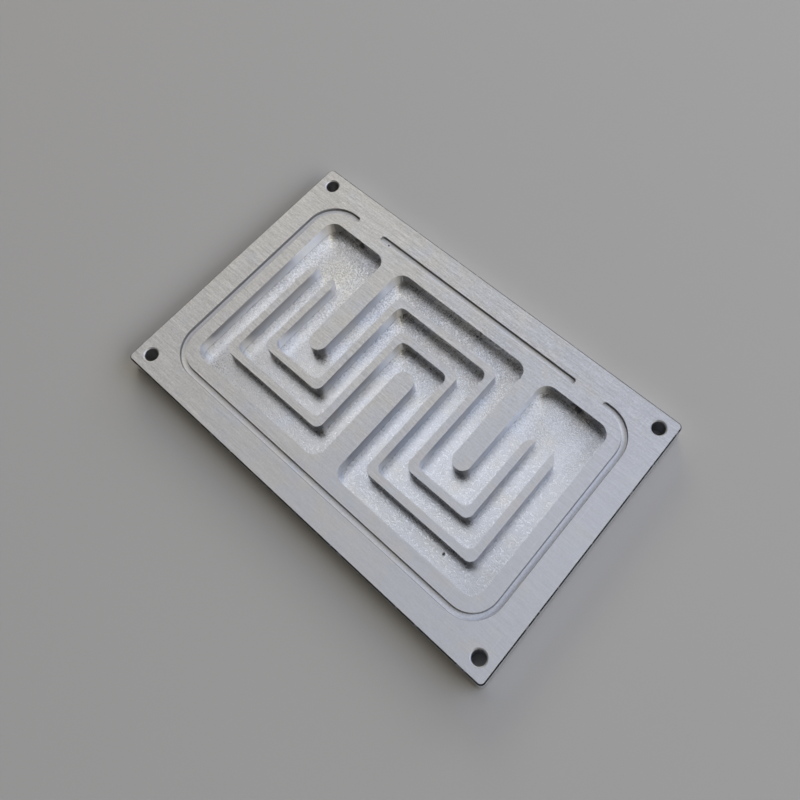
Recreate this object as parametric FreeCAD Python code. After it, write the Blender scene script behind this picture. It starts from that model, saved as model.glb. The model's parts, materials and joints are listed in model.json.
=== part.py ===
"""Liquid cooling cold plate: one aluminium plate with a three-lane coolant serpentine milled into its top.

Frame: millimetres, +Z up, +X along the plate's long side, +Y towards the side with the two coolant ports.
The origin is the centre of the underside. The milled side is the top.
"""

import FreeCAD, Part

import math
import os

from FreeCAD import Vector

# %% Driving dimensions: the plate

plate_length = 180.0
plate_width = 115.0
plate_thickness = 10.0
plate_corner_radius = 2.0
plate_edge_chamfer = 0.5

# %% Driving dimensions: the milled coolant field

channel_depth = 7.0
field_border = 18.5  # solid rim left between the plate's edge and the field
field_corner_radius = 5.0  # also where a tongue springs from the rim
side_tongue_width = 7.7  # the two tongues that come from the port side
middle_tongue_width = 8.4  # the tongue that comes from the opposite side
rib_thickness = 3.0  # the two thin walls that part the lanes
rib_corner_radius = 3.0
wide_lane_extra = 1.0  # the lanes beside the rim and round the tips are this much wider
port_pocket_length = 19.2  # from the rim to the tips of the ribs
rib_bevel_length = 4.3  # the ribs' ends are cut away on the side of the wide lanes
rib_tip_radius = 0.3
rib_shoulder_radius = 3.0

# %% Driving dimensions: ports, seal groove and screw holes

port_diameter = 6.0
port_mouth_chamfer = 0.3
groove_inset = 10.5  # from the plate's edge to the groove's outer wall
groove_width = 2.6
groove_depth = 1.5
groove_inner_radius = 11.0
groove_gap = 12.8  # the groove stops on both sides of each port, which runs just below it
hole_diameter = 5.3
hole_chamfer = 0.5
hole_inset = 6.5  # from both edges of the plate to the hole's axis

# %% Places worked out from the driving dimensions

half_length = plate_length / 2
half_width = plate_width / 2
field_half_length = half_length - field_border
field_half_width = half_width - field_border
field_floor = plate_thickness - channel_depth

lanes_across = 12  # three lanes in each of the four legs
ribs_across = 8  # two ribs in each leg
wide_lanes_across = 4  # two of the lanes in each leg with a port
lane_width = (
    2 * field_half_length
    - 2 * side_tongue_width
    - middle_tongue_width
    - ribs_across * rib_thickness
    - wide_lanes_across * wide_lane_extra
) / lanes_across
wide_lane = lane_width + wide_lane_extra


def steps_inwards(start, *steps):
    """Positions met on the way from start towards the middle, one step after the other."""
    places = [start]
    for step in steps:
        places.append(places[-1] - step)
    return places


# From each end of the field to the middle: leg with the port, side tongue, inner leg, half the middle tongue.
(
    leg_outer_side,
    outer_rib_far,
    outer_rib_near,
    inner_rib_far,
    inner_rib_near,
    tongue_far,
    tongue_near,
    crossing_rib_far,
    crossing_rib_near,
    central_rib_far,
    central_rib_near,
    middle_tongue_side,
) = steps_inwards(
    field_half_length,
    wide_lane,
    rib_thickness,
    lane_width,
    rib_thickness,
    wide_lane,
    side_tongue_width,
    lane_width,
    rib_thickness,
    lane_width,
    rib_thickness,
    lane_width,
)

# From the field's long walls to the tips of the tongues: the same lanes and ribs, crossed in a turn.
turn_wall, turn_rib_a, turn_rib_b, turn_rib_c, turn_rib_d, tongue_tip = steps_inwards(
    field_half_width, wide_lane, rib_thickness, lane_width, rib_thickness, wide_lane
)

rib_tip = field_half_width - port_pocket_length
rib_shoulder = rib_tip - rib_bevel_length

port_x = (leg_outer_side + tongue_far) / 2
port_height = field_floor + channel_depth / 2

groove_outer_radius = groove_inner_radius + groove_width

shortest_edge = 1e-6  # anything shorter is one point


# %% Helpers


def rounded_outline(corners):
    """Closed wire through (x, y, radius) corners, each rounded by an arc of its own radius."""
    arcs = []
    for before, here, after in zip(corners[-1:] + corners[:-1], corners, corners[1:] + corners[:1]):
        corner = Vector(here[0], here[1], 0)
        radius = here[2]
        back = (Vector(before[0], before[1], 0) - corner).normalize()
        ahead = (Vector(after[0], after[1], 0) - corner).normalize()
        half_angle = back.getAngle(ahead) / 2
        setback = radius / math.tan(half_angle)
        bulge = radius / math.sin(half_angle) - radius
        middle = corner + (back + ahead).normalize() * bulge
        arcs.append((corner + back * setback, middle, corner + ahead * setback))
    edges = []
    for arc, next_arc in zip(arcs, arcs[1:] + arcs[:1]):
        edges.append(Part.Arc(*arc).toShape())
        if arc[2].distanceToPoint(next_arc[0]) > shortest_edge:
            edges.append(Part.makeLine(arc[2], next_arc[0]))
    return Part.Wire(edges)


def prism(corners, bottom, top):
    """Upright solid on a rounded outline, from the height bottom to the height top."""
    face = Part.Face(rounded_outline(corners))
    face.translate(Vector(0, 0, bottom))
    return face.extrude(Vector(0, 0, top - bottom))


def rounded_block(half_x, half_y, radius, bottom, top):
    """Block centred on the Z axis, with its four upright edges rounded."""
    corners = [(-half_x, -half_y), (half_x, -half_y), (half_x, half_y), (-half_x, half_y)]
    return prism([(x, y, radius) for x, y in corners], bottom, top)


def with_mirror_image(right_half):
    """Right half of a row of corners, led by its mirror image in the YZ plane."""
    return [(-x, y, radius) for x, y, radius in reversed(right_half)] + right_half


# %% The plate


def make_blank():
    """Plate cut to size, with rounded corners and a chamfer along its top and bottom edges."""
    blank = rounded_block(half_length, half_width, plate_corner_radius, 0, plate_thickness)
    level_edges = [edge for edge in blank.Edges if edge.BoundBox.ZLength < shortest_edge]
    return blank.makeChamfer(plate_edge_chamfer, level_edges)


# %% The coolant field


def make_field():
    """Pocket split into four legs by two tongues from the port side and one from the opposite side."""
    right_half = [
        (middle_tongue_side, tongue_tip, middle_tongue_width / 2),
        (middle_tongue_side, -field_half_width, field_corner_radius),
        (field_half_length, -field_half_width, field_corner_radius),
        (field_half_length, field_half_width, field_corner_radius),
        (tongue_far, field_half_width, field_corner_radius),
        (tongue_far, -tongue_tip, side_tongue_width / 2),
        (tongue_near, -tongue_tip, side_tongue_width / 2),
        (tongue_near, field_half_width, field_corner_radius),
    ]
    return prism(with_mirror_image(right_half), field_floor, plate_thickness)


def rib_face(leg_side, end, end_radius, turn, inner_leg_side, middle_turn):
    """One face of a rib, from one port pocket through all four legs to the other."""
    right_half = [
        (inner_leg_side, middle_turn, rib_corner_radius),
        (inner_leg_side, -turn, rib_corner_radius),
        (leg_side, -turn, rib_corner_radius),
        (leg_side, end, end_radius),
    ]
    return with_mirror_image(right_half)


def make_ribs():
    """Two thin walls that run side by side through the field and part it into three lanes."""
    shoulder = (rib_shoulder, rib_shoulder_radius)
    tip = (rib_tip, rib_tip_radius)
    outer_rib = (
        rib_face(outer_rib_far, *shoulder, turn_rib_a, central_rib_near, turn_rib_d),
        rib_face(outer_rib_near, *tip, turn_rib_b, central_rib_far, turn_rib_c),
    )
    inner_rib = (
        rib_face(inner_rib_far, *tip, turn_rib_c, crossing_rib_near, turn_rib_b),
        rib_face(inner_rib_near, *shoulder, turn_rib_d, crossing_rib_far, turn_rib_a),
    )
    return [prism(one + other[::-1], field_floor, plate_thickness) for one, other in (outer_rib, inner_rib)]


# %% Ports, seal groove and screw holes


def make_ports():
    """Bores from the plate's side, one into each port pocket, at half the channel's depth."""
    cutters = []
    for side in (-1, 1):
        start = Vector(side * port_x, field_half_width - port_diameter, port_height)
        mouth = Vector(side * port_x, half_width - port_mouth_chamfer, port_height)
        radius = port_diameter / 2
        mouth_radius = radius + port_mouth_chamfer
        along = Vector(0, 1, 0)
        cutters.append(Part.makeCylinder(radius, port_diameter + field_border, start, along))
        cutters.append(Part.makeCone(radius, mouth_radius, port_mouth_chamfer, mouth, along))
    return cutters


def make_groove():
    """Shallow groove for a sealing cord round the field, with a round-ended break at each port."""
    floor = plate_thickness - groove_depth
    outer_x = half_length - groove_inset
    outer_y = half_width - groove_inset
    outer = rounded_block(outer_x, outer_y, groove_outer_radius, floor, plate_thickness)
    inner = rounded_block(
        outer_x - groove_width, outer_y - groove_width, groove_inner_radius, floor, plate_thickness
    )
    ring = outer.cut(inner)
    middle_y = outer_y - groove_width / 2
    half_break = (groove_gap + groove_width) / 2
    for side in (-1, 1):
        corner = Vector(side * port_x - half_break, middle_y - groove_width / 2, floor)
        land = Part.makeBox(2 * half_break, groove_width, groove_depth, corner)
        for end in (-1, 1):
            centre = Vector(side * port_x + end * half_break, middle_y, floor)
            land = land.cut(Part.makeCylinder(groove_width / 2, groove_depth, centre))
        ring = ring.cut(land)
    return ring


def make_holes():
    """Four through holes for the clamping screws, chamfered at both faces."""
    radius = hole_diameter / 2
    wide = radius + hole_chamfer
    cutters = []
    for x in (hole_inset - half_length, half_length - hole_inset):
        for y in (hole_inset - half_width, half_width - hole_inset):
            cutters.append(Part.makeCylinder(radius, plate_thickness, Vector(x, y, 0)))
            cutters.append(Part.makeCone(wide, radius, hole_chamfer, Vector(x, y, 0)))
            top = Vector(x, y, plate_thickness - hole_chamfer)
            cutters.append(Part.makeCone(radius, wide, hole_chamfer, top))
    return cutters


# %% The finished plate


def make_cold_plate():
    """The plate with everything milled and drilled out of it."""
    coolant_space = make_field().cut(make_ribs())
    return make_blank().cut([coolant_space, make_groove(), *make_ports(), *make_holes()]).removeSplitter()


cold_plate = make_cold_plate().Solids[0]
print(f"lanes {lane_width:.2f} and {wide_lane:.2f} wide, ports {2 * port_x:.1f} apart")
print(f"volume {cold_plate.Volume / 1000:.2f} cm3, {len(cold_plate.Faces)} faces, valid {cold_plate.isValid()}")

os.makedirs("parts", exist_ok=True)
cold_plate.exportStep("parts/cold_plate.step")
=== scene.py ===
# %% [markdown]
# # A milled aluminium cold plate
# A cold plate carries heat away from a chip or a power module. It is one block of aluminium with a
# winding channel milled into its top. A lid closes the channel, and water runs through it.
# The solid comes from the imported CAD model, and this file gives it its finish: how a ground face, a
# milled floor and a drilled hole catch the light. Everything is in metres, with +Z up.

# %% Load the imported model
import json
import math

import bpy
import numpy as np
from mathutils import Matrix, Vector


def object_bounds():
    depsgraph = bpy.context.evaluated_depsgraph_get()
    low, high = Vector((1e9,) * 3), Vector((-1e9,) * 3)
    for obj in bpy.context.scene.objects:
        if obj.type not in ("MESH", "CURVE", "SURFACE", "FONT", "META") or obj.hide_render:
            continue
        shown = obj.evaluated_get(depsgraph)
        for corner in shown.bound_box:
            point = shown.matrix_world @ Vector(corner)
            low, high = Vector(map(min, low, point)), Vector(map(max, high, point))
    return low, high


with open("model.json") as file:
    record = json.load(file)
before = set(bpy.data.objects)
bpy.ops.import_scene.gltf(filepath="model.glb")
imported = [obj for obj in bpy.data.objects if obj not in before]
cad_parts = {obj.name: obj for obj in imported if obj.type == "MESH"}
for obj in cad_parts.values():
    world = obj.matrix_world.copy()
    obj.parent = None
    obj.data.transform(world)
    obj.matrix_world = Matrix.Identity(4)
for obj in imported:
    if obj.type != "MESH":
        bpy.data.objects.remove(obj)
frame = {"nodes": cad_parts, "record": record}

cad_low, cad_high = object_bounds()
plate = frame["nodes"]["cold_plate"]
print("plate", [round(1000 * side, 2) for side in cad_high - cad_low], "mm,",
      len(plate.data.polygons), "triangles")

# %% [markdown]
# ## Where the machined faces are
# The finish changes from face to face, so the material has to know where each face is. The heights and
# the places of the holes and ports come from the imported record. A change of size in CAD then moves the
# finishes with it.

# %% Read the levels and places of the machined faces, in millimetres
PER_METRE = 1000
mounts = {mount["name"]: mount for mount in frame["record"]["mounts"]}
openings = {opening["name"]: opening["box_m"] for opening in frame["record"]["physics"]["openings"]}

top_level = cad_high.z * PER_METRE
floor_level = openings["left_port_pocket"][0][2] * PER_METRE
half_length = cad_high.x * PER_METRE
half_width = cad_high.y * PER_METRE

screws = mounts["screw_holes"]["dims"]
screw_x = screws["spacing_x_mm"] / 2
screw_y = screws["spacing_y_mm"] / 2
screw_radius = screws["hole_r_mm"]

port = mounts["right_port"]
port_x, port_y, port_z = (value * PER_METRE for value in port["pos_m"])
port_radius = port["dims"]["r_mm"]
port_start = port_y - port["dims"]["length_mm"] / 2
print("floor", floor_level, "screws", screw_x, screw_y, "port", port_x, port_start, port_z)

# %% [markdown]
# ## Shader maths as plain expressions
# A finish is a sum of patterns, and node by node it would be hard to read. This small class wraps one
# socket. Its operators add the Math nodes, so `0.3 + 0.1 * grain` makes two nodes. All other nodes come
# from its `node` method.

# %% Wrap a socket, so that maths on it adds nodes
class Signal:
    """A number, colour or vector that flows through a material's nodes."""

    def __init__(self, tree, socket=None):
        self.tree = tree
        self.socket = socket

    def node(self, kind, settings=None, inputs=None, output=0):
        """Adds a node. Settings come first, then the values or links of its sockets."""
        made = self.tree.nodes.new(kind)
        for name, value in (settings or {}).items():
            setattr(made, name, value)
        for name, value in (inputs or {}).items():
            if isinstance(value, Signal):
                self.tree.links.new(value.socket, made.inputs[name])
            else:
                made.inputs[name].default_value = value
        return Signal(self.tree, made.outputs[output] if made.outputs else None)

    def maths(self, operation, *values):
        return self.node("ShaderNodeMath", {"operation": operation}, dict(enumerate(values)))

    def __add__(self, other):
        return self.maths("ADD", self, other)

    def __sub__(self, other):
        return self.maths("SUBTRACT", self, other)

    def __rsub__(self, other):
        return self.maths("SUBTRACT", other, self)

    def __mul__(self, other):
        return self.maths("MULTIPLY", self, other)

    def __pow__(self, other):
        return self.maths("POWER", self, other)

    def __abs__(self):
        return self.maths("ABSOLUTE", self)

    def __gt__(self, other):
        return self.maths("GREATER_THAN", self, other)

    def __lt__(self, other):
        return self.maths("LESS_THAN", self, other)

    __radd__ = __add__
    __rmul__ = __mul__


def new_material(name):
    """A material with no nodes yet, and a signal to build its nodes from."""
    material = bpy.data.materials.new(name)
    material.use_nodes = True
    material.node_tree.nodes.clear()
    return material, Signal(material.node_tree)


def split(vector):
    """The three numbers of a vector."""
    parts = vector.node("ShaderNodeSeparateXYZ", inputs={"Vector": vector})
    outputs = parts.socket.node.outputs
    return [Signal(vector.tree, outputs[axis]) for axis in "XYZ"]


def larger(first, second):
    """The larger of two values. For two masks it is the mask of both places."""
    return first.maths("MAXIMUM", first, second)


def stretched(place, along, turn=0.0):
    """Coordinates scaled by a factor on each axis, so that a noise becomes streaks."""
    return place.node("ShaderNodeMapping", {"vector_type": "POINT"},
                      {"Vector": place, "Scale": along, "Rotation": (0, 0, turn)})


def noise(place, scale, detail=2.0, roughness=0.5):
    """Smooth random values round 0.5, with about `scale` bumps per unit of the coordinates."""
    return place.node("ShaderNodeTexNoise", {"noise_dimensions": "3D", "normalize": True},
                      {"Vector": place, "Scale": scale, "Detail": detail, "Roughness": roughness})


def swing(pattern, size):
    """A pattern round 0.5 turned into a swing round 0, of the given size from end to end."""
    return (pattern - 0.5) * size


def ramp(value, low, high, start=0.0, end=1.0):
    """A smooth step that runs from `start` to `end` while the value goes from `low` to `high`."""
    return value.node("ShaderNodeMapRange", {"interpolation_type": "SMOOTHSTEP", "clamp": True},
                      {"Value": value, "From Min": low, "From Max": high,
                       "To Min": start, "To Max": end})


def blend_colours(factor, first, second):
    """The first colour where the factor is 0, the second where it is 1."""
    return factor.node("ShaderNodeMix", {"data_type": "RGBA"},
                       {"Factor": factor, 6: first, 7: second}, output=2)


# %% [markdown]
# ## The aluminium
# A machine shop leaves another finish on each kind of face. The top face and the underside are ground,
# which leaves fine straight scratches along the length. The floors are milled with the cutter's end,
# which leaves a bright grain. The walls are cut with the cutter's side, which leaves upright lines, and
# the drill leaves rings in the holes.
# All of them are the same bare metal. So one material carries all finishes, and masks choose between
# them. A mask is 1 where its finish belongs and 0 elsewhere, and it is worked out from the face's
# direction, its height and its place.

# %% Start the material, with each point's place in millimetres and the direction of its face
aluminium, build = new_material("milled_aluminium")
coordinates = build.node("ShaderNodeTexCoord", output="Object")
facing = build.node("ShaderNodeTexCoord", output="Normal")
mm = coordinates.node("ShaderNodeVectorMath", {"operation": "SCALE"},
                      {0: coordinates, "Scale": float(PER_METRE)})
x, y, z = split(mm)
facing_x, facing_y, facing_z = split(facing)

# %% Sort the level faces by height: the ground faces, the channel's floor and the groove's floor
LEVEL_FROM = 0.9  # a level face's direction has at least this much of Z in it
UPRIGHT_TO = 0.3  # an upright face's direction has at most this much
HEIGHT_MARGIN = 0.3

level = abs(facing_z) > LEVEL_FROM
upright = abs(facing_z) < UPRIGHT_TO
sloped = 1 - level - upright
upward = level * (facing_z > 0)

is_top = upward * (z > top_level - HEIGHT_MARGIN)
is_floor = upward * (z < floor_level + HEIGHT_MARGIN)
is_groove_floor = upward - is_top - is_floor
is_ground = level - is_floor - is_groove_floor

# %% Find the bores: everything near the axis of a port or of a screw hole
PORT_MARGIN = 0.1
PORT_END_MARGIN = 1.0
SCREW_MARGIN = 0.6  # takes in the chamfer at the hole's mouth

port_distance = ((abs(x) - port_x) ** 2 + (z - port_z) ** 2) ** 0.5
near_port = (port_distance < port_radius + PORT_MARGIN) * (y > port_start - PORT_END_MARGIN)
in_port = near_port * (abs(facing_y) < LEVEL_FROM)
screw_distance = ((abs(x) - screw_x) ** 2 + (abs(y) - screw_y) ** 2) ** 0.5
in_screw_hole = (screw_distance < screw_radius + SCREW_MARGIN) * (1 - level)
in_bore = larger(in_port, in_screw_hole)

# %% Find the walls of channel and groove, and the chamfered edges
SIDE_MARGIN = 3.0  # the plate's own sides lie nearer to its edge than this
GROOVE_ZONE = 15.0  # of the walls inside, only the groove's lie nearer to the edge than this
WALL_FOOT_HEIGHT = 0.4

on_edge = sloped * (1 - in_bore)
is_wall = upright * (1 - in_bore)
is_inside = (abs(x) < half_length - SIDE_MARGIN) * (abs(y) < half_width - SIDE_MARGIN)
in_groove_zone = larger(abs(x) > half_length - GROOVE_ZONE, abs(y) > half_width - GROOVE_ZONE)
is_inner_wall = is_wall * is_inside
# painted shade goes on the groove's walls
painted_shade_groove_wall = is_inner_wall * in_groove_zone
# painted shade goes on the feet of the inner walls
painted_shade_wall_foot = is_inner_wall * (z < floor_level + WALL_FOOT_HEIGHT)

# %% Find the two sides of the groove's floor, for the painted shade there, from the distance to the groove's middle line
GROOVE_MIDDLE_INSET = 11.8
GROOVE_TURN_RADIUS = 12.3
GROOVE_HALF_WIDTH = 1.3
GROOVE_SIDE_STRIP = 0.3

past_turn_x = larger(abs(x) - (half_length - GROOVE_MIDDLE_INSET - GROOVE_TURN_RADIUS), 0.0)
past_turn_y = larger(abs(y) - (half_width - GROOVE_MIDDLE_INSET - GROOVE_TURN_RADIUS), 0.0)
from_middle = abs((past_turn_x ** 2 + past_turn_y ** 2) ** 0.5 - GROOVE_TURN_RADIUS)
painted_shade_groove_side = is_groove_floor * (from_middle > GROOVE_HALF_WIDTH - GROOVE_SIDE_STRIP)
print("masks", len(aluminium.node_tree.nodes), "nodes")

# %% [markdown]
# ## Patterns that the tools leave
# Each pattern is a smooth noise. Stretching its coordinates along one axis turns its bumps into lines
# that run that way. The three numbers of a stretch count the bumps per millimetre along X, Y and Z.

# %% Ground faces: fine scratches along the length, and a few stray ones across
FINE_SCRATCHES = (0.20, 2.2, 2.2)
BROAD_STREAKS = (0.03, 0.8, 0.8)
STRAY_SCRATCHES = (1.7, 0.035, 1.0)
STRAY_TURN = 0.6

scratches = noise(stretched(mm, FINE_SCRATCHES), 1.0, detail=4.0, roughness=0.7)
broad_streaks = noise(stretched(mm, BROAD_STREAKS), 1.0, detail=2.0)
speckle = noise(mm, 1.3, detail=3.0, roughness=0.7)
pressure = ramp(y - 0.8 * x, -70.0, 40.0, 0.5, 1.6)  # the wheel cut harder towards one corner
ground = 0.5 + pressure * (0.45 * scratches + 0.2 * broad_streaks + 0.35 * speckle - 0.5)
stray = noise(stretched(mm, STRAY_SCRATCHES, STRAY_TURN), 1.0, detail=1.0)
stray_scratches = is_ground * ramp(stray, 0.70, 0.74)

# %% Milled floors: a bright grain, with the faint lines of the cutter's feed
LENGTHWISE_LINES = (0.10, 1.6, 1.0)
CROSSING_LINES = (1.5, 0.16, 1.0)
CROSSING_TURN = 0.5

grain = ramp(noise(mm, 1.8, detail=3.0, roughness=0.7), 0.40, 0.60)
cloudy = noise(mm, 0.09, detail=2.0)
patches = ramp(noise(mm, 0.08, detail=2.0), 0.30, 0.60, 0.7, 1.0)
coarseness = patches * ramp(y - 0.25 * x, -12.0, 30.0, 0.35, 1.5)
lengthwise = noise(stretched(mm, LENGTHWISE_LINES), 1.0, detail=3.0, roughness=0.6)
crossing = noise(stretched(mm, CROSSING_LINES, CROSSING_TURN), 1.0, detail=3.0, roughness=0.6)
feed_marks = 0.6 * lengthwise + 0.4 * crossing

# %% Walls, holes and edges: upright lines, rings of the drill, and bright worn places
WALL_LINES = (2.0, 2.0, 0.15)
HOLE_RINGS = (0.2, 0.2, 3.0)

wall_lines = noise(stretched(mm, WALL_LINES), 1.0, detail=3.0)
hole_rings = noise(stretched(mm, HOLE_RINGS), 1.0, detail=2.0)
worn = ramp(noise(mm, 0.35, detail=3.0), 0.52, 0.66)


# %% Marks of use: a pit in the channel floor and a nick in the seal groove
def spot(at_x, at_y, radius):
    """A round mask with a soft rim, 1 inside and 0 outside."""
    distance = ((x - at_x) ** 2 + (y - at_y) ** 2) ** 0.5
    return ramp(distance, 0.55 * radius, radius, 1.0, 0.0)


pit = is_floor * spot(52.0, -32.8, 0.62)
fleck = is_floor * spot(52.9, -32.5, 0.40)
nick = is_groove_floor * spot(-45.4, 45.2, 0.50)
dark_marks = larger(pit, nick)
print("with patterns", len(aluminium.node_tree.nodes), "nodes")

# %% [markdown]
# ## One metal with all its finishes
# Lightness, roughness and depth are each a plain value, plus what each finish adds on its own faces.
# Part of the lightness is painted light and shade. The edges, the feet of the walls, the groove's walls,
# the sides of the groove's floor and the bores are painted darker as painted shade, and the ground faces
# are painted darker towards the ports. The groove's floor is painted lighter as painted light, and the
# tint gets a painted cool cast towards +X.

# %% How light each finish is, with the painted light and shade
PLAIN_LIGHTNESS = 0.76
WARM_TINT = (0.872, 0.863, 0.858, 1.0)
COOL_TINT = (0.836, 0.853, 0.905, 1.0)
# painted light: a cool cast painted into the tint, growing towards +X
PAINTED_COOL_CAST_PER_MM = 0.0025  # the tint turns cooler towards +X
# painted shade: the ground faces are painted a little darker towards the ports
PAINTED_SHADE_PER_MM = 0.0008  # the ground faces get a little darker towards the ports
PIT_DARKNESS = 0.8

# painted shade: the last term darkens the ground faces towards the ports
ground_lightness = swing(ground, 1.0) + stray_scratches * 0.06 - y * PAINTED_SHADE_PER_MM
floor_lightness = (0.03 + swing(grain, 0.30) * coarseness
                   + swing(feed_marks, 0.15) + swing(cloudy, 0.10))
lightness = (PLAIN_LIGHTNESS
             + is_ground * ground_lightness
             + is_floor * floor_lightness
             # painted light: the groove's floor is painted lighter against the shade of its walls; the
             # speckle is its grain
             + is_groove_floor * (0.24 + swing(speckle, 0.40))
             + is_wall * (0.01 + swing(wall_lines, 0.12))
             # painted shade: the bores are painted a little darker; the rings are the drill's marks
             + in_bore * (swing(hole_rings, 0.30) - 0.06)
             # painted shade: the chamfered edges are painted darker; the worn places on them are lighter
             # wear
             + on_edge * (worn * 0.10 - 0.40)
             # painted shade at the feet of the walls
             - painted_shade_wall_foot * 0.20
             # painted shade on the groove's walls
             - painted_shade_groove_wall * 0.40
             # painted shade along both sides of the groove's floor
             - painted_shade_groove_side * 0.50
             + fleck * 0.20)
lightness = lightness * (1 - PIT_DARKNESS * dark_marks)
# painted light: the x term gives the painted cool cast; the cloudy noise is random tone
tint = blend_colours(ramp(cloudy + x * PAINTED_COOL_CAST_PER_MM, 0.30, 0.70), WARM_TINT, COOL_TINT)
colour = lightness.node("ShaderNodeMix", {"data_type": "RGBA", "blend_type": "MULTIPLY"},
                        {"Factor": 1.0, 6: tint, 7: lightness}, output=2)

# %% How rough each finish is
PLAIN_ROUGHNESS = 0.24
CROSS_WALL_DULLNESS = 0.16  # for walls that face along X

roughness = (PLAIN_ROUGHNESS
             + is_ground * (0.36 + swing(ground, 0.25))
             + is_floor * (0.08 + swing(grain, 0.10) + swing(feed_marks, 0.15))
             + is_wall * (abs(facing_x) * CROSS_WALL_DULLNESS - 0.07)
             + is_groove_floor * 0.46
             + in_port * 0.20
             + in_screw_hole * (0.10 + sloped * 0.30)
             + on_edge * (worn * 0.10 - 0.05)
             + dark_marks * 0.3)

# %% How deep each pattern is, in units of a twentieth of a millimetre
DEPTH_UNIT = 0.00005

height = (ground * is_ground * 1.8
          + is_floor * (grain * coarseness * 0.60 + feed_marks * 0.3)
          + is_wall * wall_lines * 0.08
          + in_bore * hole_rings * 0.7
          - dark_marks * 4.0)
surface_normal = height.node("ShaderNodeBump", inputs={"Strength": 1.0, "Distance": DEPTH_UNIT,
                                                       "Height": height})

# %% Put the material on the plate
metal = colour.node("ShaderNodeBsdfPrincipled",
                    inputs={"Base Color": colour, "Roughness": roughness, "Metallic": 1.0,
                            "Normal": surface_normal})
metal.node("ShaderNodeOutputMaterial", inputs={"Surface": metal})
plate.data.materials.clear()
plate.data.materials.append(aluminium)
print("aluminium", len(aluminium.node_tree.nodes), "nodes")

# %% [markdown]
# ## The floor
# The plate lies on plain pale paper. The sheet is a wide disc, just below the plate. Far out, the
# camera sees it fade into the backdrop's colour, which softens the horizon in low views. The light that
# comes back from it to the plate stays that of paper.

# %% Lay the floor
FLOOR_RADIUS = 4.0
FLOOR_CORNERS = 96
FLOOR_GAP = 0.0001

turns = np.linspace(0, 2 * np.pi, FLOOR_CORNERS, endpoint=False)
rim = np.stack([FLOOR_RADIUS * np.cos(turns), FLOOR_RADIUS * np.sin(turns),
                np.full_like(turns, cad_low.z - FLOOR_GAP)], axis=1)
floor_mesh = bpy.data.meshes.new("floor")
floor_mesh.from_pydata(rim.tolist(), [], [list(range(len(rim)))])
floor = bpy.data.objects.new("floor", floor_mesh)
bpy.context.scene.collection.objects.link(floor)
print("floor", 2 * FLOOR_RADIUS, "m across")

# %% Give it its paper
PAPER = (0.435, 0.427, 0.414, 1.0)
PAPER_ROUGHNESS = 0.9
BACKDROP = (0.34, 0.333, 0.322, 1.0)
FADE_FROM = 0.5
FADE_TO = 2.0

paper, build = new_material("pale_paper")
paper_shader = build.node("ShaderNodeBsdfPrincipled",
                          inputs={"Base Color": PAPER, "Roughness": PAPER_ROUGHNESS})
far_shader = build.node("ShaderNodeEmission", inputs={"Color": BACKDROP, "Strength": 1.0})
seen_by_camera = build.node("ShaderNodeLightPath", output="Is Camera Ray")
on_floor = build.node("ShaderNodeTexCoord", output="Object")
reach = on_floor.node("ShaderNodeVectorMath", {"operation": "LENGTH"}, {0: on_floor}, output="Value")
faded = build.node("ShaderNodeMixShader",
                   inputs={0: seen_by_camera * ramp(reach, FADE_FROM, FADE_TO),
                           1: paper_shader, 2: far_shader})
build.node("ShaderNodeOutputMaterial", inputs={"Surface": faded})
floor_mesh.materials.append(paper)

# %% [markdown]
# ## The light
# Bare metal looks like what it mirrors, so large soft lamps stand all round the plate. The cool key lamp
# beyond the right-hand port is the strongest. It makes the milled floors shine. The walls that face away
# from the lamps stay dark, which is what shows the depth of the channel.


# %% Set the lamps
def looking(place, target):
    """A frame at a place, with its -Z axis towards a target."""
    direction = Vector(target) - Vector(place)
    return Matrix.Translation(place) @ direction.to_track_quat("-Z", "Y").to_matrix().to_4x4()


def add_lamp(name, place, target, size, power, colour):
    """A rectangular area lamp at a place, turned to face a target."""
    lamp = bpy.data.lights.new(name, "AREA")
    lamp.shape = "RECTANGLE"
    lamp.size, lamp.size_y = size
    lamp.energy = power
    lamp.color = colour
    holder = bpy.data.objects.new(name, lamp)
    holder.matrix_world = looking(place, target)
    bpy.context.scene.collection.objects.link(holder)


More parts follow.
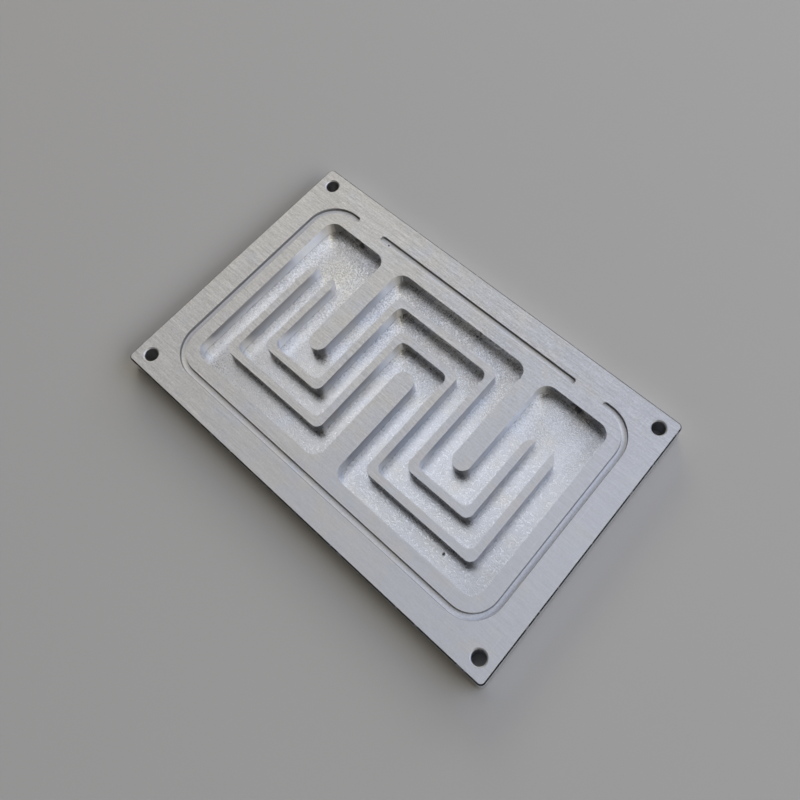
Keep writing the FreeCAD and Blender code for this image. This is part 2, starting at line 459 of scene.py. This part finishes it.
LAMPS = (
    # name, place in metres, size in metres, power in watts, colour
    ("key", (1.60, 1.36, 1.60), (2.2, 1.8), 40.0, (0.71, 0.80, 1.0)),
    ("left", (-2.0, 0.2, 1.50), (1.2, 1.2), 4.5, (1.0, 0.90, 0.82)),
    ("right", (2.0, 0.0, 1.50), (1.2, 1.2), 18.5, (1.0, 0.93, 0.77)),
    ("back", (0.0, 2.4, 0.80), (1.6, 0.8), 12.5, (0.92, 0.86, 1.0)),
    ("rear_left", (-1.8, 1.7, 1.10), (1.4, 0.9), 19.3, (1.0, 0.96, 0.76)),
    ("overhead", (-0.4, 0.50, 1.60), (1.0, 1.0), 4.5, (0.93, 0.95, 1.0)),
    ("front", (0.0, -2.60, 1.25), (2.4, 0.8), 4.0, (1.0, 0.98, 0.96)),
)
centre = (cad_low + cad_high) / 2
for name, place, size, power, glow in LAMPS:
    add_lamp(name, place, centre, size, power, glow)
print(len(LAMPS), "lamps")

# %% Keep the room between the lamps dark, and show the camera the backdrop in its place
DARK_ROOM = (0.01, 0.01, 0.01, 1.0)

world = bpy.data.worlds.new("studio")
bpy.context.scene.world = world
world.use_nodes = True
world.node_tree.nodes.clear()
build = Signal(world.node_tree)
seen_by_camera = build.node("ShaderNodeLightPath", output="Is Camera Ray")
unlit = build.node("ShaderNodeBackground", inputs={"Color": DARK_ROOM, "Strength": 1.0})
backdrop = build.node("ShaderNodeBackground", inputs={"Color": BACKDROP, "Strength": 1.0})
room = build.node("ShaderNodeMixShader", inputs={0: seen_by_camera, 1: unlit, 2: backdrop})
build.node("ShaderNodeOutputWorld", inputs={"Surface": room})
bpy.context.scene.view_settings.view_transform = "Standard"

# %% [markdown]
# ## The camera
# It stands above the plate's front right corner and looks steeply down. It is rolled a little, and its
# lens is shifted, because the plate lies off the axis of the lens.

# %% Place the camera
CAMERA_PLACE = (0.1093, -0.0763, 0.3400)
CAMERA_TARGET = (-0.0317, 0.0565, centre.z)
CAMERA_ROLL = math.radians(6.25)

camera_data = bpy.data.cameras.new("camera")
camera_data.lens = 41.9
camera_data.shift_x = -0.04
camera_data.shift_y = -0.1875
camera_data.clip_start = 0.01
camera = bpy.data.objects.new("camera", camera_data)
camera.matrix_world = looking(CAMERA_PLACE, CAMERA_TARGET) @ Matrix.Rotation(-CAMERA_ROLL, 4, "Z")
bpy.context.scene.collection.objects.link(camera)
bpy.context.scene.camera = camera
print("camera", camera_data.lens, "mm lens")
